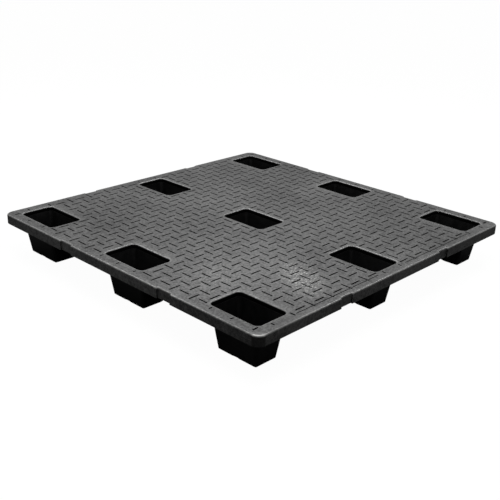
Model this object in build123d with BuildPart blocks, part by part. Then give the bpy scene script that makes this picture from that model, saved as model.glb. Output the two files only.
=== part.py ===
from build123d import *

import os

os.makedirs("parts", exist_ok=True)

# Nine-leg nestable pallet with a closed, grooved deck. Millimetres, +Z up.
# The origin is on the floor, under the middle of the square deck.
# +X runs along one edge of the deck, +Y along the next (front is -Y); the
# long sides of the leg cups run along Y.
# Sizes ending in _X or _Y are measured along that axis; names ending in _R
# are radii and _T thicknesses.

# ---------------------------------------------------------------- dimensions
# Deck
DECK_X = 1219.2  # 48 in
DECK_Y = 1219.2
HEIGHT = 139.7  # 5.5 in, floor to deck top
PLATE_T = 5.0
SKIRT_H = 33.0  # edge band, deck top to its lower edge
SKIRT_T = 4.5
CORNER_R = 30.0  # deck corners, in plan
EDGE_R = 5.0  # rounding along the top of the edge band

# Strap notches, two a side
NOTCH_D = 6.0
NOTCH_W_X = 48.0  # in the two edges along X
NOTCH_AT_X = 250.0  # their centres, from the middle of the edge
NOTCH_W_Y = 56.0  # in the two edges along Y
NOTCH_AT_Y = 239.0

# Leg centres, from the middle of the deck
LEG_X = DECK_X / 2 - 101.6  # 4 in inside the edge
LEG_Y = 473.1

# Deck openings
OPEN_X = 116.0  # inside the collar
OPEN_Y = 182.0
OPEN_R = 15.0
RIM_R = 6.0  # rolled rim
COLLAR_H = 14.0  # turned-down collar, from the deck top
COLLAR_T = 4.0

# Leg cups, measured outside
CUP_X = 120.0  # where the cup meets the collar
CUP_Y = 185.0
CUP_R = 16.0
CUP_T = 3.5
FOOT_X = 82.5  # at the floor, before the bevel
FOOT_Y = 147.5
FOOT_R = 9.0
FOOT_BEVEL = 4.0
FLOOR_T = 5.0  # bottom of the cup
CHANNEL_W = 37.0  # trapezoidal channel across the foot, along X
CHANNEL_TOP = 17.0
CHANNEL_D = 5.0
HUMP_BASE_EXTRA = 4.5  # raised floor beyond the channel, each side, at its base
HUMP_TOP_EXTRA = 4.0  # and at its top
HUMP_SINK = 1.0  # overlap of the raised floor into the cup's bottom
DRAIN_R = 8.0

# Leg flange and the seat plate above it
FLANGE_W = 18.0  # beyond the cup's wall
FLANGE_T = 4.5
FLANGE_Z = 116.0  # underside
FLANGE_R = 26.0  # corners of the ring's opening; the flange's are RING_GAP less
SEAT_T = 3.0  # frame plate held between flange and deck bosses
SEAT_GAP = 0.8  # between the cup and the seat plate

# Screws, their bosses and holes
BOSS_R = 6.5
PILOT_R = 2.55
CLEAR_R = 2.8
SCREW_R = 2.5
SCREW_TIP_GAP = 1.5  # below the deck plate
SCREW_CHAMFER = 1.0
HEAD_R = 5.5
HEAD_H = 3.2
WASHER_R = 7.0
WASHER_H = 1.2
HEX_R = 2.6
HEX_D = 2.0
SCREW_AT_Y = 62.0  # screws on the flange's long sides, from the leg's middle
SCREW_SHIFT = 1.5  # outward from the middle of the flange's strip

# Rib frame under the deck
RIB_T = 3.0
RIB_PITCH = DECK_X / 12
RIB_N = 11
FRAME_GAP = 0.5  # all round, inside the edge band
RING_GAP = 1.0  # between a leg's flange and the rib ring around it

# Grip pattern on the deck
CELL = DECK_X / 30
CELLS = 29
GROOVE_L = 38.0
GROOVE_W = 3.2
GROOVE_D = 2.0
GROOVE_MARGIN = 20.0  # pattern stops this far from the deck's edge
GROOVE_CLEAR = 6.5  # and this far from a rim
STUB_MIN = 9.0  # shortest dash on the outer side of an outer leg
STUB_MIN_INNER = 12.0  # and anywhere else
LINE_IN = 26.5  # straight groove inside the -Y edge
LINE_W = 1.8
LINE_D = 1.0

# Levels
PLATE_Z = HEIGHT - PLATE_T
SKIRT_Z = HEIGHT - SKIRT_H
SEAT_Z = FLANGE_Z + FLANGE_T
BOSS_Z = SEAT_Z + SEAT_T
COLLAR_Z = HEIGHT - COLLAR_H


def cup_size(z, extra=0.0):
    """Outside (X, Y) size of the tapered cup at height z, plus extra on each side."""
    return tuple(
        foot + (top - foot) * z / COLLAR_Z + 2 * extra
        for foot, top in ((FOOT_X, CUP_X), (FOOT_Y, CUP_Y))
    )


FLANGE_X, FLANGE_Y = cup_size(SEAT_Z, FLANGE_W)
RING_X = FLANGE_X + 2 * RING_GAP
RING_Y = FLANGE_Y + 2 * RING_GAP

LEGS = {
    "front_left": (-LEG_X, -LEG_Y),
    "front_middle": (0.0, -LEG_Y),
    "front_right": (LEG_X, -LEG_Y),
    "middle_left": (-LEG_X, 0.0),
    "centre": (0.0, 0.0),
    "middle_right": (LEG_X, 0.0),
    "rear_left": (-LEG_X, LEG_Y),
    "rear_middle": (0.0, LEG_Y),
    "rear_right": (LEG_X, LEG_Y),
}
LEG_POINTS = list(LEGS.values())

# Six screws a leg, along the flange's strip.
SCREW_DX = FLANGE_X / 2 - FLANGE_W / 2 + SCREW_SHIFT
SCREW_DY = FLANGE_Y / 2 - FLANGE_W / 2 + SCREW_SHIFT
SCREW_OFFSETS = [
    (-SCREW_DX, -SCREW_AT_Y),
    (-SCREW_DX, SCREW_AT_Y),
    (SCREW_DX, -SCREW_AT_Y),
    (SCREW_DX, SCREW_AT_Y),
    (0.0, -SCREW_DY),
    (0.0, SCREW_DY),
]
SCREW_POINTS = [(x + dx, y + dy) for x, y in LEG_POINTS for dx, dy in SCREW_OFFSETS]

NOTCHES_X = [(s * NOTCH_AT_X, t * DECK_Y / 2) for s in (-1, 1) for t in (-1, 1)]
NOTCHES_Y = [(t * DECK_X / 2, s * NOTCH_AT_Y) for s in (-1, 1) for t in (-1, 1)]

# Half sizes, as (X, Y): the pattern's field and the plain area at each opening.
FIELD = (DECK_X / 2 - GROOVE_MARGIN, DECK_Y / 2 - GROOVE_MARGIN)
PLAIN = (OPEN_X / 2 + RIM_R + GROOVE_CLEAR, OPEN_Y / 2 + RIM_R + GROOVE_CLEAR)
PLAIN_R = OPEN_R + RIM_R + GROOVE_CLEAR


# ------------------------------------------------------------- sketch shapes
# These add to the sketch that is open where they are called.
def notch_rectangles(wall=0.0, mode=Mode.ADD):
    """The eight strap notches, grown by a wall thickness."""
    with Locations(*NOTCHES_X):
        Rectangle(NOTCH_W_X + 2 * wall, 2 * (NOTCH_D + wall), mode=mode)
    with Locations(*NOTCHES_Y):
        Rectangle(2 * (NOTCH_D + wall), NOTCH_W_Y + 2 * wall, mode=mode)


def inset_deck(inset):
    """The deck's outline moved in by inset, stepping in behind each notch."""
    RectangleRounded(DECK_X - 2 * inset, DECK_Y - 2 * inset, CORNER_R - inset)
    notch_rectangles(inset, Mode.SUBTRACT)


def leg_rectangles(size_x, size_y, radius, mode=Mode.ADD):
    """The same rounded rectangle at every leg."""
    with Locations(*LEG_POINTS):
        RectangleRounded(size_x, size_y, radius, mode=mode)


# -------------------------------------------------------------- grip pattern
def dash_spans(along, across, axis):
    """What is left of a dash along axis (0 for X, 1 for Y) after clipping it to
    the field and to the plain area around each opening, as (start, end) pairs."""
    spans = [
        (max(along - GROOVE_L / 2, -FIELD[axis]), min(along + GROOVE_L / 2, FIELD[axis]))
    ]
    for leg in LEG_POINTS:
        side = abs(across - leg[1 - axis])
        if side >= PLAIN[1 - axis]:
            continue
        reach = PLAIN[axis]
        into_corner = side - PLAIN[1 - axis] + PLAIN_R
        if into_corner > 0:  # the plain area's rounded corner
            reach += (PLAIN_R**2 - into_corner**2) ** 0.5 - PLAIN_R
        low, high = leg[axis] - reach, leg[axis] + reach
        spans = [
            piece
            for start, end in spans
            for piece in ((start, min(end, low)), (max(start, high), end))
            if piece[0] < piece[1]
        ]
    return spans


def groove_rectangles():
    """Dashes that alternate along X and Y, grouped by size: {(dx, dy): centres}."""
    half = CELL * (CELLS - 1) / 2
    groups = {}
    for i in range(CELLS):
        for j in range(CELLS):
            cell = (-half + i * CELL, -half + j * CELL)
            axis = (i + j) % 2
            across = cell[1 - axis]
            for start, end in dash_spans(cell[axis], across, axis):
                middle = (start + end) / 2
                length = round(end - start, 3)
                outer = abs(middle) > (LEG_X, LEG_Y)[axis]
                if length < (STUB_MIN if outer else STUB_MIN_INNER):
                    continue
                size, centre = (length, GROOVE_W), (middle, across)
                if axis == 1:
                    size, centre = size[::-1], centre[::-1]
                groups.setdefault(size, []).append(centre)
    return groups


# -------------------------------------------------------------------- pieces
def on_opening(edge):
    """Whether an edge's centre lies within one of the deck openings."""
    centre = edge.center()
    return any(
        abs(centre.X - x) < OPEN_X / 2 + 1 and abs(centre.Y - y) < OPEN_Y / 2 + 1
        for x, y in LEG_POINTS
    )


def make_deck_panel():
    """Closed grooved plate with an edge band, nine openings and screw bosses."""
    with BuildPart() as deck:
        with BuildSketch(Plane.XY.offset(SKIRT_Z)):
            RectangleRounded(DECK_X, DECK_Y, CORNER_R)
        extrude(amount=SKIRT_H)
        fillet(deck.faces().sort_by(Axis.Z)[-1].edges(), EDGE_R)
        with BuildSketch(Plane.XY.offset(SKIRT_Z)):
            notch_rectangles()
        extrude(amount=SKIRT_H, mode=Mode.SUBTRACT)
        # Hollow underside.
        with BuildSketch(Plane.XY.offset(SKIRT_Z)):
            inset_deck(SKIRT_T)
        extrude(amount=SKIRT_H - PLATE_T, mode=Mode.SUBTRACT)
        # Openings, each with a turned-down collar and a rolled rim.
        with BuildSketch(Plane.XY.offset(COLLAR_Z)):
            leg_rectangles(OPEN_X + 2 * COLLAR_T, OPEN_Y + 2 * COLLAR_T, OPEN_R + COLLAR_T)
        extrude(amount=PLATE_Z - COLLAR_Z)
        with BuildSketch(Plane.XY.offset(COLLAR_Z)):
            leg_rectangles(OPEN_X, OPEN_Y, OPEN_R)
        extrude(amount=COLLAR_H, mode=Mode.SUBTRACT)
        top_edges = deck.edges().filter_by_position(Axis.Z, HEIGHT - 0.01, HEIGHT + 0.01)
        fillet(top_edges.filter_by(on_opening), RIM_R)
        # Blind screw bosses under the plate.
        with BuildSketch(Plane.XY.offset(BOSS_Z)):
            with Locations(*SCREW_POINTS):
                Circle(BOSS_R)
                Circle(PILOT_R, mode=Mode.SUBTRACT)
        extrude(amount=PLATE_Z - BOSS_Z)
        # Grip pattern.
        with BuildSketch(Plane.XY.offset(HEIGHT - GROOVE_D)):
            for size, centres in groove_rectangles().items():
                with Locations(*centres):
                    Rectangle(*size)
        extrude(amount=GROOVE_D, mode=Mode.SUBTRACT)
        # Straight grooves between the front openings' plain areas.
        with BuildSketch(Plane.XY.offset(HEIGHT - LINE_D)):
            line_y = -DECK_Y / 2 + LINE_IN
            with Locations((-LEG_X / 2, line_y), (LEG_X / 2, line_y)):
                Rectangle(LEG_X - 2 * PLAIN[0], LINE_W)
        extrude(amount=LINE_D, mode=Mode.SUBTRACT)
    return deck.part


def make_underside_frame():
    """Rib lattice inside the edge band, with a ring around each leg and a seat
    plate that the leg's flange holds against the deck's bosses."""
    inset = SKIRT_T + FRAME_GAP
    with BuildPart() as frame:
        with BuildSketch(Plane.XY.offset(SKIRT_Z)):
            inset_deck(inset)
        extrude(amount=SKIRT_H - PLATE_T)
        # Pockets between the ribs.
        with BuildSketch(Plane.XY.offset(SKIRT_Z)):
            inset_deck(inset + RIB_T)
            with GridLocations(RIB_PITCH, 0, RIB_N, 1):
                Rectangle(RIB_T, DECK_Y, mode=Mode.SUBTRACT)
            with GridLocations(0, RIB_PITCH, 1, RIB_N):
                Rectangle(DECK_X, RIB_T, mode=Mode.SUBTRACT)
            leg_rectangles(
                RING_X + 2 * RIB_T, RING_Y + 2 * RIB_T, FLANGE_R + RIB_T, Mode.SUBTRACT
            )
        extrude(amount=SKIRT_H - PLATE_T, mode=Mode.SUBTRACT)
        # Leg rings: open below the seat plate and above it.
        for bottom, top in ((SKIRT_Z, SEAT_Z), (BOSS_Z, PLATE_Z)):
            with BuildSketch(Plane.XY.offset(bottom)):
                leg_rectangles(RING_X, RING_Y, FLANGE_R)
            extrude(amount=top - bottom, mode=Mode.SUBTRACT)
        # Cup and screw holes through the seat plate.
        with BuildSketch(Plane.XY.offset(SEAT_Z)):
            leg_rectangles(*cup_size(BOSS_Z, SEAT_GAP), CUP_R)
            with Locations(*SCREW_POINTS):
                Circle(CLEAR_R)
        extrude(amount=SEAT_T, mode=Mode.SUBTRACT)
    return frame.part


def make_leg(x, y):
    """Open-topped tapered cup with a bevelled foot and a screwed flange."""
    bevel_size = cup_size(FOOT_BEVEL)
    floor_size = cup_size(FLOOR_T, -CUP_T)
    # Sketch axes: across the channel (+Y), then up.
    channel_plane = Plane((x, y, 0), x_dir=(0, 1, 0), z_dir=(1, 0, 0))
    with BuildPart() as leg:
        with BuildSketch(Plane((x, y, 0))):
            RectangleRounded(
                FOOT_X - 2 * FOOT_BEVEL, FOOT_Y - 2 * FOOT_BEVEL, FOOT_R - FOOT_BEVEL
            )
        with BuildSketch(Plane((x, y, FOOT_BEVEL))):
            RectangleRounded(*bevel_size, FOOT_R)
        loft()
        with BuildSketch(Plane((x, y, FOOT_BEVEL))):
            RectangleRounded(*bevel_size, FOOT_R)
        with BuildSketch(Plane((x, y, COLLAR_Z))):
            RectangleRounded(CUP_X, CUP_Y, CUP_R)
        loft()
        with BuildSketch(Plane((x, y, FLANGE_Z))):
            RectangleRounded(FLANGE_X, FLANGE_Y, FLANGE_R - RING_GAP)
        extrude(amount=FLANGE_T)
        # Inside of the cup.
        with BuildSketch(Plane((x, y, FLOOR_T))):
            RectangleRounded(*floor_size, FOOT_R - CUP_T)
        with BuildSketch(Plane((x, y, COLLAR_Z))):
            RectangleRounded(CUP_X - 2 * CUP_T, CUP_Y - 2 * CUP_T, CUP_R - CUP_T)
        loft(mode=Mode.SUBTRACT)
        # Raised floor over the foot's channel, then the channel itself.
        with BuildSketch(channel_plane):
            with BuildLine():
                base = CHANNEL_W / 2 + HUMP_BASE_EXTRA
                top = CHANNEL_TOP / 2 + HUMP_TOP_EXTRA
                Polyline(
                    (-base, FLOOR_T - HUMP_SINK),
                    (base, FLOOR_T - HUMP_SINK),
                    (base, FLOOR_T),
                    (top, FLOOR_T + CHANNEL_D),
                    (-top, FLOOR_T + CHANNEL_D),
                    (-base, FLOOR_T),
                    close=True,
                )
            make_face()
        extrude(amount=floor_size[0] / 2 + CUP_T / 2, both=True)
        with BuildSketch(channel_plane):
            with BuildLine():
                Polyline(
                    (-CHANNEL_W / 2, 0),
                    (CHANNEL_W / 2, 0),
                    (CHANNEL_TOP / 2, CHANNEL_D),
                    (-CHANNEL_TOP / 2, CHANNEL_D),
                    close=True,
                )
            make_face()
        extrude(amount=FOOT_X, both=True, mode=Mode.SUBTRACT)
        # Drain hole and screw holes.
        with BuildSketch(Plane((x, y, 0))):
            Circle(DRAIN_R)
        extrude(amount=FLOOR_T + CHANNEL_D + 1, mode=Mode.SUBTRACT)
        with BuildSketch(Plane((x, y, FLANGE_Z))):
            with Locations(*SCREW_OFFSETS):
                Circle(CLEAR_R)
        extrude(amount=FLANGE_T, mode=Mode.SUBTRACT)
    return leg.part


def make_screws(x, y):
    """Six flanged-head screws, driven up through flange and seat plate."""
    washer_z = FLANGE_Z - WASHER_H
    # Washer, head and shank: start level, radius, signed length.
    stages = (
        (FLANGE_Z, WASHER_R, -WASHER_H),
        (washer_z, HEAD_R, -HEAD_H),
        (FLANGE_Z, SCREW_R, PLATE_Z - FLANGE_Z - SCREW_TIP_GAP),
    )
    with BuildPart() as screws:
        for start, radius, length in stages:
            with BuildSketch(Plane((x, y, start))):
                with Locations(*SCREW_OFFSETS):
                    Circle(radius)
            extrude(amount=length)
        chamfer(screws.edges().group_by(Axis.Z)[-1], SCREW_CHAMFER)
        # Hexagonal sockets.
        with BuildSketch(Plane((x, y, washer_z - HEAD_H))):
            with Locations(*SCREW_OFFSETS):
                RegularPolygon(HEX_R, 6)
        extrude(amount=HEX_D, mode=Mode.SUBTRACT)
    return screws.part


def save(part, name):
    part.label = name
    export_step(part, f"parts/{name}.step")


save(make_deck_panel(), "deck_panel")
save(make_underside_frame(), "underside_frame")
for place, (x, y) in LEGS.items():
    save(make_leg(x, y), "leg_" + place)
    save(make_screws(x, y), "screws_" + place)
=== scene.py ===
"""Square black plastic deck on legs, with screws and a frame below.

The deck is centred on the origin with its edges along X and Y and its top facing +Z.
The deck moulding is modelled here; the other CAD pieces only get materials.
Mesh sizes are in millimetres; materials, lights and camera are in metres.
"""

import math
from functools import cached_property

import bpy
import bmesh
from mathutils import Matrix, Vector
from mathutils.geometry import delaunay_2d_cdt


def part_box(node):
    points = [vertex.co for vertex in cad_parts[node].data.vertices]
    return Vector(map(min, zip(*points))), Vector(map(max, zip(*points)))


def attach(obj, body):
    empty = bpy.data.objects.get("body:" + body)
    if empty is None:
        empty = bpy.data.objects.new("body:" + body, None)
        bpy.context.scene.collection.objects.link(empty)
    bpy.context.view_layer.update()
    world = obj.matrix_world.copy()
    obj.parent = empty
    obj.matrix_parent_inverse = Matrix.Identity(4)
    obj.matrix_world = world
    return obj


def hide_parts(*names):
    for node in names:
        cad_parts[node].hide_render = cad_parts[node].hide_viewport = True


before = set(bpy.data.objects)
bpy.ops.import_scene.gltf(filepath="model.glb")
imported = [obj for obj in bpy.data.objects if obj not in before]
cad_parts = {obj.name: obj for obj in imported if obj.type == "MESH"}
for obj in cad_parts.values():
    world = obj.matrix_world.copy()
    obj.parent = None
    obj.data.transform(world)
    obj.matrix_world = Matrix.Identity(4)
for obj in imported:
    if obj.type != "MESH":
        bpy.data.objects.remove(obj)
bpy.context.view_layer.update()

MM = 0.001


# ------------------------------------------------------------ sizes, in mm
low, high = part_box("deck_panel")
TOP = high.z / MM
HALF = high.x / MM
SKIRT_Z = low.z / MM
PLATE_T = 5.0
PLATE_Z = TOP - PLATE_T  # underside of the plate
SKIRT_T = 4.5
SKIRT_BEVEL = 0.6  # inner lower edge of the skirt
CORNER_R = 30.0
EDGE_R = 5.0
ARC_STEPS = 6  # per corner of the outline
ROUND_STEPS = 7  # down a rounded edge

# Strap notches, two a side.
NOTCH_D = 6.0
NOTCHES = ((250.0, 48.0), (239.0, 56.0))  # (from the middle, width): edges along X, along Y
NOTCH_MOUTH_R, NOTCH_ROOT_R = 1.6, 1.2

# Openings over the legs, with a collar below and screw bosses around.
OPEN_X, OPEN_Y, OPEN_R = 116.0, 182.0, 15.0
RIM_R = 6.0
COLLAR_T = 4.0
COLLAR_Z = TOP - 14.0
BOSS_Z = 123.5
BOSS_R = 6.5
PILOT_R = 2.55
PILOT_END_GAP = 0.01  # pilot end above the underside of the plate
SCREW_IN = 7.5  # from the edge of the leg's flange
SCREW_Y = 62.0

# Grip pattern: one dash per cell, turned by a right angle from cell to cell.
CELL, CELLS = 40.64, 29
GROOVE_L, GROOVE_W, GROOVE_D = 38.0, 3.2, 2.0
GROOVE_MARGIN, GROOVE_CLEAR = 20.0, 6.5
DASH_MIN, OUTER_DASH_MIN = 12.0, 9.0

# Line groove along the -Y border, in runs between the dashes across it.
LINE_Y = -HALF + 26.5
LINE_W, LINE_D = 1.8, 1.0
LINE_GAP = 2.0  # to the side of a dash
LINE_OVERRUN = 3.5  # of the end marks past the span
LINE_REACH = 4.0  # dashes this far past the span still cut it
DASH_REACH = 1.5  # dashes ending this near the line still cut it
LINE_MIN = 4.0

LEGS = {}  # name: (x, y)
for node in sorted(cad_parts):
    if node.startswith("leg_"):
        low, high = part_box(node)
        LEGS[node[4:]] = ((low.x + high.x) / 2 / MM, (low.y + high.y) / 2 / MM)
low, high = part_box("leg_centre")
SCREW_DX = (high.x / MM - low.x / MM) / 2 - SCREW_IN
SCREW_DY = (high.y / MM - low.y / MM) / 2 - SCREW_IN
SCREW_OFFSETS = [
    (-SCREW_DX, -SCREW_Y), (-SCREW_DX, SCREW_Y), (SCREW_DX, -SCREW_Y), (SCREW_DX, SCREW_Y),
    (0.0, -SCREW_DY), (0.0, SCREW_DY),
]


# ------------------------------------------------------------ 2-D outlines
def inset_outline(corners, inset):
    """Counter-clockwise axis-aligned outline of (x, y, radius) corners, moved
    inward. It has the same number of points at every inset."""
    points = []
    for k, (x, y, radius) in enumerate(corners):
        before, corner = Vector(corners[k - 1][:2]), Vector((x, y))
        after = Vector(corners[(k + 1) % len(corners)][:2])
        edge1, edge2 = (corner - before).normalized(), (after - corner).normalized()
        normal1, normal2 = Vector((-edge1.y, edge1.x)), Vector((-edge2.y, edge2.x))
        if edge1.x * edge2.y - edge1.y * edge2.x > 0:
            # Keeps a small radius where the inset passes the corner's own.
            reach = max(radius, inset + 0.15)
            centre = corner + reach * (normal1 + normal2)
            arc_r = reach - inset
            start = math.atan2(-normal1.y, -normal1.x)
            turn = math.pi / 2
        else:
            centre = corner - radius * (normal1 + normal2)
            arc_r = radius + inset
            start = math.atan2(normal1.y, normal1.x)
            turn = -math.pi / 2
        for i in range(ARC_STEPS + 1):
            angle = start + turn * i / ARC_STEPS
            points.append((centre.x + arc_r * math.cos(angle), centre.y + arc_r * math.sin(angle)))
    return points


def rounded(x, y, width, depth, radius, steps):
    """Counter-clockwise rounded rectangle."""
    points = []
    for side_x, side_y, start in ((1, -1, -90), (1, 1, 0), (-1, 1, 90), (-1, -1, 180)):
        arc_x = x + side_x * (width / 2 - radius)
        arc_y = y + side_y * (depth / 2 - radius)
        for i in range(steps + 1):
            angle = math.radians(start + 90 * i / steps)
            points.append((arc_x + radius * math.cos(angle), arc_y + radius * math.sin(angle)))
    return points


def circle(x, y, radius, count=20):
    angles = [2 * math.pi * i / count for i in range(count)]
    return [(x + radius * math.cos(a), y + radius * math.sin(a)) for a in angles]


def quarter_round(radius):
    """(distance from the wall, drop from the top) of the points down a rounded edge."""
    angles = [math.pi / 2 * k / ROUND_STEPS for k in range(ROUND_STEPS + 1)]
    return [(radius * (1 - math.sin(a)), radius * (1 - math.cos(a))) for a in angles]


def deck_corners():
    """Square with two strap notches a side, as (x, y, radius)."""
    corners = []
    for quarter in range(4):
        from_middle, width = NOTCHES[quarter % 2]
        side = [(-HALF, -HALF, CORNER_R)]
        for middle in (-from_middle, from_middle):
            left, right = middle - width / 2, middle + width / 2
            side += [
                (left, -HALF, NOTCH_MOUTH_R),
                (left, -HALF + NOTCH_D, NOTCH_ROOT_R),
                (right, -HALF + NOTCH_D, NOTCH_ROOT_R),
                (right, -HALF, NOTCH_MOUTH_R),
            ]
        for x, y, radius in side:
            for _ in range(quarter):
                x, y = -y, x
            corners.append((x, y, radius))
    return corners


# --------------------------------------------------------------- mesh maker
class Shell:
    """Gathers rings and flat faces, then makes one closed mesh."""

    SHARP = math.radians(32.0)
    MERGE = 2e-6  # metres

    def __init__(self):
        self.verts, self.faces, self.wear, self.shade = [], [], [], []

    def ring(self, points, z, wear=0.0, shade=0.0):
        """Adds points at height z; the third argument marks rounded edges painted paler, as
        rubbing wear and as a painted highlight, and shade marks recesses painted dark as painted
        shade.
        Shade is one value or a list of one per point."""
        first = len(self.verts)
        self.verts += [(x, y, z) for x, y in points]
        self.wear += [wear] * len(points)
        self.shade += shade if isinstance(shade, list) else [shade] * len(points)
        return list(range(first, first + len(points)))

    def loft(self, rings):
        """Quads between successive rings with the same number of points."""
        for a, b in zip(rings, rings[1:]):
            for i in range(len(a)):
                j = (i + 1) % len(a)
                self.faces.append((a[i], a[j], b[j], b[i]))

    def flat(self, outer, holes):
        """Triangles inside ring outer and outside every ring of holes."""
        ids, loops = [], []
        for loop in [outer] + holes:
            loops.append(list(range(len(ids), len(ids) + len(loop))))
            ids += loop
        points = [Vector(self.verts[i][:2]) for i in ids]
        _, _, faces, sources, _, owners = delaunay_2d_cdt(points, [], loops, 1, 1e-5)
        for face, owner in zip(faces, owners):
            # Faces owned by loop 0 alone lie in no hole.
            if list(owner) == [0]:
                self.faces.append(tuple(ids[sources[v][0]] for v in face))

    def cap(self, loop):
        self.faces.append(tuple(loop))

    def make(self, name):
        mesh = bpy.data.meshes.new(name)
        mesh.from_pydata([(x * MM, y * MM, z * MM) for x, y, z in self.verts], [], self.faces)
        for key, values in (("wear", self.wear), ("shade", self.shade)):
            mesh.attributes.new(key, "FLOAT", "POINT").data.foreach_set("value", values)
        bm = bmesh.new()
        bm.from_mesh(mesh)
        bmesh.ops.remove_doubles(bm, verts=bm.verts, dist=self.MERGE)
        bmesh.ops.dissolve_degenerate(bm, edges=bm.edges, dist=self.MERGE)
        bmesh.ops.recalc_face_normals(bm, faces=bm.faces)
        for edge in bm.edges:
            if len(edge.link_faces) == 2 and edge.calc_face_angle(0.0) > self.SHARP:
                edge.smooth = False
        for face in bm.faces:
            face.smooth = True
        bm.to_mesh(mesh)
        bm.free()
        obj = bpy.data.objects.new(name, mesh)
        bpy.context.scene.collection.objects.link(obj)
        obj.modifiers.new("normals", "WEIGHTED_NORMAL").keep_sharp = True
        return obj


# --------------------------------------------------------------- deck panel
def skirt(shell):
    """Rounded edge and skirt; returns the rings at the top and under the plate."""
    # The end walls of the strap notches are painted dark as shade: four walls a side,
    # each from the last point of one corner to the first point of the next.
    unshaded = [0.0] * (ARC_STEPS + 1)
    wall = [0.0] * ARC_STEPS + [1.0, 1.0] + [0.0] * ARC_STEPS
    notch_wall_shade = (unshaded + wall * 4) * 4

    # The rounded edge is painted paler, most near its top, as rubbing wear and as a painted
    # highlight.
    edge_wear = (0.15, 1.0, 1.0, 0.8, 0.5, 0.3, 0.15, 0.05)
    stations = [  # (inset, z, wear, shade)
        (inset, TOP - drop, wear, 0.0)
        for (inset, drop), wear in zip(quarter_round(EDGE_R), edge_wear)
    ]
    stations += [
        (0.0, TOP - EDGE_R - 0.6, 0.05, notch_wall_shade),
        (0.0, SKIRT_Z + 1.0, 0.05, notch_wall_shade),
        # The skirt's lower edge is painted paler too, as wear and as a painted highlight.
        (0.3, SKIRT_Z + 0.3, 0.5, 0.0),
        (1.0, SKIRT_Z, 0.2, 0.0),
        (SKIRT_T - SKIRT_BEVEL, SKIRT_Z, 0.0, 0.0),
        (SKIRT_T, SKIRT_Z + SKIRT_BEVEL, 0.0, 0.0),
        (SKIRT_T, PLATE_Z, 0.0, 0.0),
    ]
    corners = deck_corners()
    rings = [
        shell.ring(inset_outline(corners, inset), z, wear, shade)
        for inset, z, wear, shade in stations
    ]
    shell.loft(rings)
    return rings[0], rings[-1]


def leg_opening(shell, x, y):
    """Rounded rim and collar; returns the rings at the top and under the plate."""
    # The rim is painted paler near its top as wear and as a painted highlight; its lower part and
    # the collar's inside are painted dark as shade.
    rim_wear = (0.2, 0.8, 1.0, 1.0, 0.4, 0.0, 0.0, 0.0)
    rim_shade = (0.0, 0.0, 0.0, 0.15, 0.7, 1.0, 1.0, 1.0)
    stations = [  # (growth, z, wear, shade)
        (grow, TOP - drop, wear, shade)
        for (grow, drop), wear, shade in zip(quarter_round(RIM_R), rim_wear, rim_shade)
    ]
    stations += [
        (0.0, COLLAR_Z, 0.0, 1.0),
        (COLLAR_T, COLLAR_Z, 0.0, 0.0),
        (COLLAR_T, PLATE_Z, 0.0, 0.0),
    ]
    rings = []
    for grow, z, wear, shade in stations:
        points = rounded(x, y, OPEN_X + 2 * grow, OPEN_Y + 2 * grow, OPEN_R + grow, steps=10)
        rings.append(shell.ring(points, z, wear, shade))
    shell.loft(rings)
    return rings[0], rings[-1]


def screw_boss(shell, x, y):
    """Boss with a blind pilot hole; returns its ring under the plate."""
    stations = (
        (BOSS_R, PLATE_Z),
        (BOSS_R, BOSS_Z),
        (PILOT_R, BOSS_Z),
        (PILOT_R, PLATE_Z + PILOT_END_GAP),
    )
    rings = [shell.ring(circle(x, y, radius), z) for radius, z in stations]
    shell.loft(rings)
    shell.cap(rings[-1])
    return rings[0]


def cut_spans(spans, middle, offset, reach, side_reach):
    """Cuts from the spans of a line what comes too near a leg opening. The line
    passes its middle at offset; the kept-clear area has rounded corners."""
    if offset >= side_reach:
        return spans
    radius = OPEN_R + RIM_R + GROOVE_CLEAR
    if offset > side_reach - radius:
        reach += (radius**2 - (offset - side_reach + radius) ** 2) ** 0.5 - radius
    pieces = []
    for start, end in spans:
        pieces += [(start, min(end, middle - reach)), (max(start, middle + reach), end)]
    return [(start, end) for start, end in pieces if start < end]


def grip_dashes():
    """Grip pattern as (centre x, centre y, length, runs along x)."""
    half = CELL * (CELLS - 1) / 2
    limit = HALF - GROOVE_MARGIN
    keep = (OPEN_X / 2 + RIM_R + GROOVE_CLEAR, OPEN_Y / 2 + RIM_R + GROOVE_CLEAR)
    dashes = []
    for i in range(CELLS):
        for j in range(CELLS):
            along_x = (i + j) % 2 == 0
            order = 1 if along_x else -1  # swaps (x, y) to (along, across)
            centre, across = (-half + i * CELL, -half + j * CELL)[::order]
            spans = [(max(centre - GROOVE_L / 2, -limit), min(centre + GROOVE_L / 2, limit))]
            for leg in LEGS.values():
                leg_centre, leg_across = leg[::order]
                spans = cut_spans(spans, leg_centre, abs(across - leg_across), *keep[::order])
            outermost_leg = max(leg[::order][0] for leg in LEGS.values())
            for start, end in spans:
                middle = (start + end) / 2
                shortest = OUTER_DASH_MIN if abs(middle) > outermost_leg else DASH_MIN
                if end - start >= shortest:
                    dashes.append((*(middle, across)[::order], end - start, along_x))
    return dashes


def line_runs(dashes):
    """(start x, end x) of the line groove's runs, between the openings' clearances."""
    crossing = sorted(
        x for x, y, length, along_x in dashes
        if not along_x and abs(y - LINE_Y) < length / 2 + DASH_REACH
    )
    leg_x = LEGS["front_right"][0]
    span = leg_x - (OPEN_X + 2 * (RIM_R + GROOVE_CLEAR))
    runs = []
    for centre in (-leg_x / 2, leg_x / 2):
        start, end = centre - span / 2, centre + span / 2
        cuts = [x for x in crossing if start - LINE_REACH < x < end + LINE_REACH]
        marks = [start - LINE_OVERRUN] + cuts + [end + LINE_OVERRUN]
        for x0, x1 in zip(marks, marks[1:]):
            x0, x1 = x0 + GROOVE_W / 2 + LINE_GAP, x1 - GROOVE_W / 2 - LINE_GAP
            if x1 - x0 > LINE_MIN:
                runs.append((x0, x1))
    return runs


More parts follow.
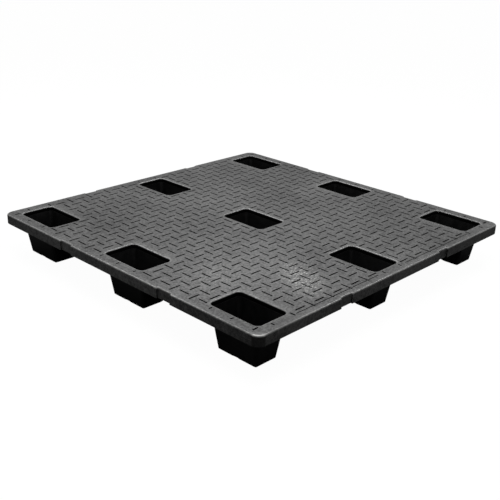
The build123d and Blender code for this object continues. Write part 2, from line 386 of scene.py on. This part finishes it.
def groove(shell, x, y, size_x, size_y, depth, painted_shade):
    """One groove with rounded ends and drafted walls, painted black inside as shade; returns its
    top ring.
    When asked, a narrow dark band of painted shade lies round it on the flat."""
    stations = [  # (z, growth, shade)
        (TOP, 0.5, 1.0 if painted_shade else 0.0),
        (TOP - 0.08, 0.38, 1.0),
        (TOP - 0.5, 0.02, 1.0),
        (TOP - depth + 0.25, -0.15, 1.0),
        (TOP - depth, -0.45, 1.0),
    ]
    if painted_shade:
        stations = [(TOP, 1.35, 0.0), (TOP, 0.95, 1.0)] + stations
    rings = []
    for z, grow, shade in stations:
        # Just short of a half-round end, and never quite square.
        radius = max(min(min(size_x, size_y) / 2 + grow - 0.02, 0.8 + grow), 0.12)
        points = rounded(x, y, size_x + 2 * grow, size_y + 2 * grow, radius, steps=3)
        rings.append(shell.ring(points, z, shade=shade))
    shell.loft(rings)
    shell.cap(rings[-1])
    return rings[0]


def build_deck():
    shell = Shell()
    top_outline, under_outline = skirt(shell)
    top_holes, under_holes = [], []
    for x, y in LEGS.values():
        top, under = leg_opening(shell, x, y)
        top_holes.append(top)
        under_holes.append(under)
        for dx, dy in SCREW_OFFSETS:
            under_holes.append(screw_boss(shell, x + dx, y + dy))
    dashes = grip_dashes()
    for x, y, length, along_x in dashes:
        size = (length, GROOVE_W) if along_x else (GROOVE_W, length)
        top_holes.append(groove(shell, x, y, *size, GROOVE_D, painted_shade=True))
    for x0, x1 in line_runs(dashes):
        middle = (x0 + x1) / 2
        top_holes.append(groove(shell, middle, LINE_Y, x1 - x0, LINE_W, LINE_D, painted_shade=False))
    shell.flat(top_outline, top_holes)
    shell.flat(under_outline, under_holes)
    return shell.make("deck_panel_moulding")


# ---------------------------------------------------------------- materials
def grey(level):
    return (level, level, level, 1)


class Graph:
    """Shader nodes of a material or world."""

    def __init__(self, owner):
        owner.use_nodes = True
        self.owner = owner
        self.nodes, self.links = owner.node_tree.nodes, owner.node_tree.links

    def fill(self, node, inputs):
        """Sets each input to a value or links it to a socket."""
        for key, value in inputs.items():
            if isinstance(value, bpy.types.NodeSocket):
                self.links.new(value, node.inputs[key])
            else:
                node.inputs[key].default_value = value

    def add(self, kind, output, inputs=None, **settings):
        """Adds a node and returns the output asked for."""
        node = self.nodes.new("ShaderNode" + kind)
        for key, value in settings.items():
            setattr(node, key, value)
        self.fill(node, inputs or {})
        return node.outputs[output]

    @cached_property
    def place(self):
        """Object coordinates."""
        return self.add("TexCoord", "Object")

    def mapped(self, vector, **inputs):
        return self.add("Mapping", "Vector", {"Vector": vector, **inputs})

    def length(self, vector):
        return self.add("VectorMath", "Value", {"Vector": vector}, operation="LENGTH")

    def noise(self, scale, detail, roughness=0.5, turn=None, stretch=None):
        """Noise, turned about Z and squeezed when turn and stretch are given."""
        vector = self.place
        if stretch:
            vector = self.mapped(vector, Rotation=(0, 0, turn), Scale=stretch)
        inputs = {"Vector": vector, "Scale": scale, "Detail": detail, "Roughness": roughness}
        return self.add("TexNoise", "Fac", inputs)

    def ramp(self, value, start, end, low=0.0, high=1.0):
        """Smooth step from low to high as value goes from start to end."""
        limits = {"From Min": start, "From Max": end, "To Min": low, "To Max": high}
        inputs = {"Value": value, **limits}
        return self.add("MapRange", "Result", inputs, interpolation_type="SMOOTHSTEP")

    def math(self, operation, a, b):
        return self.add("Math", "Value", {0: a, 1: b}, operation=operation)

    def times(self, a, b):
        return self.math("MULTIPLY", a, b)

    def mix(self, factor, a, b):
        """Mixes colours; 6, 7 and output 2 are the node's colour sockets."""
        return self.add("Mix", 2, {0: factor, 6: a, 7: b}, data_type="RGBA")

    def attribute(self, name):
        return self.add("Attribute", "Fac", attribute_name=name)

    def colour_ramp(self, factor, stops):
        """Colour ramp through stops of (place, colour)."""
        output = self.add("ValToRGB", "Color", {"Fac": factor})
        elements = output.node.color_ramp.elements
        elements[0].position, elements[0].color = stops[0]
        elements[1].position, elements[1].color = stops[-1]
        for place, colour in stops[1:-1]:
            elements.new(place).color = colour
        return output

    def camera_switch(self, others, camera):
        """One shader for camera rays, another for all others."""
        seen = self.add("LightPath", "Is Camera Ray")
        return self.add("MixShader", "Shader", {"Fac": seen, 1: others, 2: camera})


def mottled(name, dark, light, rough, specular):
    """Starts a black plastic; returns its graph, mottled colour and roughness."""
    g = Graph(bpy.data.materials.new(name))
    g.fill(g.nodes["Principled BSDF"], {"Specular IOR Level": specular, "IOR": 1.5})
    broad = g.noise(scale=5.0, detail=3.0, roughness=0.55)
    patch = g.noise(scale=46.0, detail=4.0, roughness=0.65)
    fine = g.noise(scale=330.0, detail=2.0, roughness=0.6)
    blend = g.math("ADD", g.times(broad, 0.5), g.times(patch, 0.5))
    speckle = g.math("ADD", g.times(blend, 0.6), g.times(fine, 0.4))
    colour = g.mix(g.ramp(speckle, start=0.40, end=0.60), dark, light)
    return g, colour, g.ramp(blend, start=0.36, end=0.64, low=rough[0], high=rough[1])


def add_grain(g, colour, rough, grain):
    """Links colour and roughness and adds fine grain; returns the bump node."""
    fine = g.times(g.noise(scale=420.0, detail=3.0, roughness=0.6), 0.7)
    coarse = g.times(g.noise(scale=70.0, detail=2.0), 1.1)
    height = g.math("ADD", fine, coarse)
    inputs = {"Strength": grain, "Distance": 0.0004, "Height": height}
    normal = g.add("Bump", "Normal", inputs)
    surface = {"Base Color": colour, "Roughness": rough, "Normal": normal}
    g.fill(g.nodes["Principled BSDF"], surface)
    return normal.node


def plain_plastic(name, dark, light, rough, specular, grain):
    g, colour, rough = mottled(name, dark, light, rough, specular)
    add_grain(g, colour, rough, grain)
    return g.owner


def add_scratches(g, colour):
    """Fine scratches in two directions, in patches."""
    where = g.ramp(g.noise(scale=3.2, detail=2.0), start=0.47, end=0.68)
    one_way = g.noise(scale=60.0, detail=2.0, turn=0.62, stretch=(1.0, 26.0, 8.0))
    other_way = g.noise(scale=70.0, detail=2.0, turn=-0.9, stretch=(1.2, 30.0, 8.0))
    one_way = g.ramp(one_way, start=0.66, end=0.74)
    other_way = g.ramp(other_way, start=0.67, end=0.75)
    strength = 1.0
    scratch = g.times(g.math("MAXIMUM", one_way, other_way), g.times(where, strength))
    return g.mix(scratch, colour, (0.085, 0.085, 0.083, 1))


def add_scuffs(g, colour):
    """Two scuffed places, each an ellipse of short pale scratches."""
    places = (  # (x, y), turn, radii, strength
        ((-0.255, -0.445), 1.05, (0.17, 0.08), 1.0),
        ((-0.43, -0.25), 0.6, (0.17, 0.13), 0.30),
    )
    chips = g.noise(scale=80.0, detail=4.0, roughness=0.8, turn=0.9, stretch=(1.0, 2.6, 1.0))
    chips = g.ramp(chips, start=0.52, end=0.60)
    for (x, y), turn, (radius_a, radius_b), strength in places:
        shifted = g.mapped(g.place, Location=(-x, -y, 0))
        turned = g.mapped(shifted, Rotation=(0, 0, -turn))
        squashed = g.mapped(turned, Scale=(1 / radius_a, 1 / radius_b, 0))
        inside = g.ramp(g.length(squashed), start=1.0, end=0.2)
        scuff = g.times(g.times(inside, chips), strength)
        colour = g.mix(scuff, colour, (0.34, 0.34, 0.33, 1))
    return colour


def deck_plastic():
    """Scratched and scuffed, with edges painted paler as wear and as a painted highlight, and
    painted shade in the recesses.
    """
    specular, grain = 0.5, 0.7
    g, colour, rough = mottled(
        "deck_black",
        dark=(0.010, 0.010, 0.0102, 1), light=(0.046, 0.046, 0.0455, 1),
        rough=(0.34, 0.46), specular=specular,
    )
    colour = add_scuffs(g, add_scratches(g, colour))

    # Rounded edges are painted paler, as rubbing wear and as a painted highlight, and are
    # smoother: this attribute is 1 on roundings.
    wear = g.attribute("wear")
    nick = g.ramp(g.noise(scale=60.0, detail=3.0, roughness=0.65), start=0.50, end=0.70)
    rub_and_highlight = g.times(wear, g.math("ADD", g.times(nick, 0.35), 0.30))
    colour = g.mix(rub_and_highlight, colour, (0.26, 0.26, 0.255, 1))
    rough = g.math("SUBTRACT", rough, g.times(wear, 0.06))

    # The -X -Y corner is duller, with a painted highlight along its top edge and a painted dark
    # reflection below it.
    corner = 0.6008  # its distance from the middle in x and y
    away = g.length(g.mapped(g.place, Location=(corner, corner, 0), Scale=(1, 1, 0)))
    position = g.add("SeparateXYZ", "X", {"Vector": g.place}).node.outputs
    edge_low, edge_high = 0.1325, 0.1365  # heights the edge shading fades between
    corner_highlight = g.times(wear, g.ramp(away, start=0.024, end=0.012, high=0.7))
    colour = g.mix(corner_highlight, colour, (0.50, 0.50, 0.49, 1))
    below = g.ramp(position["Z"], start=edge_high, end=edge_low)
    band = g.times(below, g.ramp(away, start=0.024, end=0.015, high=0.75))
    dull = g.ramp(away, start=0.10, end=0.34, low=0.42)

    # The plain border is a little duller than the grip pattern.
    from_x, from_y = (g.math("ABSOLUTE", position[axis], 0.0) for axis in "XY")
    border = g.ramp(g.math("MAXIMUM", from_x, from_y), start=0.555, end=0.585, high=0.16)
    border = g.times(border, g.ramp(position["Z"], start=edge_low, end=edge_high))
    dull = g.times(dull, g.math("SUBTRACT", 1.0, border))

    # Painted shade in the recesses and on the notch end walls, and the painted dark reflection
    # under the corner's top edge, are near black and lose their gloss; rubbed edges shine more.
    painted_shade = g.math("MAXIMUM", g.attribute("shade"), band)
    colour = g.mix(painted_shade, colour, grey(0.0012))
    sheen = g.ramp(
        g.noise(scale=130.0, detail=3.0, roughness=0.7),
        start=0.42, end=0.58, low=0.50 * specular, high=1.55 * specular,
    )
    polish = g.math("ADD", g.times(wear, 0.5), 1.0)
    gloss = g.times(g.math("SUBTRACT", 1.0, painted_shade), g.times(sheen, dull))
    gloss = g.times(gloss, polish)
    g.fill(g.nodes["Principled BSDF"], {"Specular IOR Level": gloss})

    # Wear smooths the grain away.
    bump = add_grain(g, colour, rough, grain)
    left = g.math("SUBTRACT", 1.0, g.times(wear, 0.8))
    g.fill(bump, {"Strength": g.times(left, grain)})
    return g.owner


def steel():
    """Zinc-plated steel with slight spangle and dull patches."""
    g = Graph(bpy.data.materials.new("zinc_steel"))
    noise = g.noise(scale=260.0, detail=3.0)
    stops = ((0.35, (0.28, 0.28, 0.29, 1)), (0.68, (0.52, 0.52, 0.51, 1)))
    rough = g.add("MapRange", "Result", {"Value": noise, "To Min": 0.28, "To Max": 0.5})
    surface = {"Metallic": 0.9, "Base Color": g.colour_ramp(noise, stops), "Roughness": rough}
    g.fill(g.nodes["Principled BSDF"], surface)
    return g.owner


def floor_material():
    """Nearly white to the camera, dark grey to every other ray."""
    g = Graph(bpy.data.materials.new("floor_pale"))
    bsdf = g.nodes["Principled BSDF"]
    g.fill(bsdf, {"Base Color": grey(0.06), "Roughness": 0.9, "Specular IOR Level": 0.0})
    diffuse = g.add("BsdfDiffuse", "BSDF", {"Color": grey(0.03)})
    glow = g.add("Emission", "Emission", {"Strength": 0.97})
    seen = g.add("AddShader", "Shader", {0: diffuse, 1: glow})
    surface = g.camera_switch(others=bsdf.outputs["BSDF"], camera=seen)
    g.fill(g.nodes["Material Output"], {"Surface": surface})
    return g.owner


deck_mat = deck_plastic()
# The legs' plastic is painted darker than the deck's, as shade: the legs stand in shadow under the
# deck.
leg_mat = plain_plastic(
    "leg_black",
    dark=(0.0018, 0.0018, 0.0019, 1), light=(0.0042, 0.0042, 0.0043, 1),
    rough=(0.32, 0.44), specular=0.15, grain=0.2,
)
frame_mat = plain_plastic(
    "frame_black",
    dark=(0.006, 0.006, 0.0062, 1), light=(0.012, 0.012, 0.0122, 1),
    rough=(0.42, 0.55), specular=0.3, grain=0.25,
)
screw_mat = steel()

# ------------------------------------------------------------------- pieces
deck = build_deck()
deck.data.materials.append(deck_mat)
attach(deck, "root")
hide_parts("deck_panel")

for name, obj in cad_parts.items():
    if name == "deck_panel":
        continue
    if name.startswith("screws_"):
        mat = screw_mat
    else:
        mat = leg_mat if name.startswith("leg_") else frame_mat
    obj.data.materials.clear()
    obj.data.materials.append(mat)


# -------------------------------------------------------------------- stage
def build_floor():
    half = 30.0
    corners = [(-half, -half, 0), (half, -half, 0), (half, half, 0), (-half, half, 0)]
    mesh = bpy.data.meshes.new("floor")
    mesh.from_pydata(corners, [], [(0, 1, 2, 3)])
    floor = bpy.data.objects.new("floor", mesh)
    bpy.context.scene.collection.objects.link(floor)
    floor.location.z = -0.0005
    mesh.materials.append(floor_material())


def build_world():
    """White to the camera; other rays see a sky that brightens upward."""
    world = bpy.data.worlds.new("studio")
    bpy.context.scene.world = world
    g = Graph(world)
    g.nodes.clear()
    output = g.nodes.new("ShaderNodeOutputWorld")
    direction = g.add("TexCoord", "Generated")
    height = g.add("SeparateXYZ", "Z", {"Vector": direction})
    levels = ((0.0, 0.06), (0.08, 0.30), (0.30, 0.64), (0.50, 1.0), (1.0, 1.0))
    sky = g.colour_ramp(height, [(place, grey(level)) for place, level in levels])
    ambient = g.add("Background", "Background", {"Color": sky, "Strength": 0.78})
    plain = g.add("Background", "Background", {"Color": grey(1), "Strength": 1.0})
    g.fill(output, {"Surface": g.camera_switch(others=ambient, camera=plain)})


def softbox(name, place, target, width, watts):
    """Square area light at place, aimed at target."""
    light = bpy.data.lights.new(name, "AREA")
    light.shape = "RECTANGLE"
    light.size = light.size_y = width
    light.energy = watts
    obj = bpy.data.objects.new(name, light)
    bpy.context.scene.collection.objects.link(obj)
    obj.location = place
    aim = Vector(target) - Vector(place)
    obj.rotation_euler = aim.to_track_quat("-Z", "Y").to_euler()


def build_camera():
    data = bpy.data.cameras.new("camera")
    data.sensor_width = 36.0
    data.sensor_fit = "HORIZONTAL"
    data.lens = 57.91325
    data.clip_end = 100.0
    camera = bpy.data.objects.new("camera", data)
    bpy.context.scene.collection.objects.link(camera)
    place = (-1.9053239, -1.8081681, 1.1056128)
    axes = Matrix((
        (0.6984872807, -0.7150978568, 0.0273966021),  # right
        (0.2555695771, 0.2850262220, 0.9238204609),  # up
        (-0.6684307817, -0.6382751036, 0.3818444476),  # back
    ))
    camera.matrix_world = Matrix.Translation(place) @ axes.transposed().to_4x4()
    bpy.context.scene.camera = camera


build_floor()
build_world()
LIGHTS = (  # name, place, target, width, watts
    ("overhead", (-0.5, -0.5, 2.5), (-0.3, -0.3, 0.1), 1.2, 40),
    ("glare", (1.6, 1.6, 2.6), (-0.45, -0.45, 0.1), 1.1, 26),
    ("rear", (-0.1, 2.0, 2.3), (-0.1, 0.0, 0.1), 0.7, 16),
    ("right", (2.0, -0.1, 2.3), (0.0, -0.1, 0.1), 0.7, 13),
)
for light in LIGHTS:
    softbox(*light)
build_camera()
bpy.context.scene.view_settings.view_transform = "Standard"
bpy.context.scene.view_settings.look = "None"

bpy.context.view_layer.update()
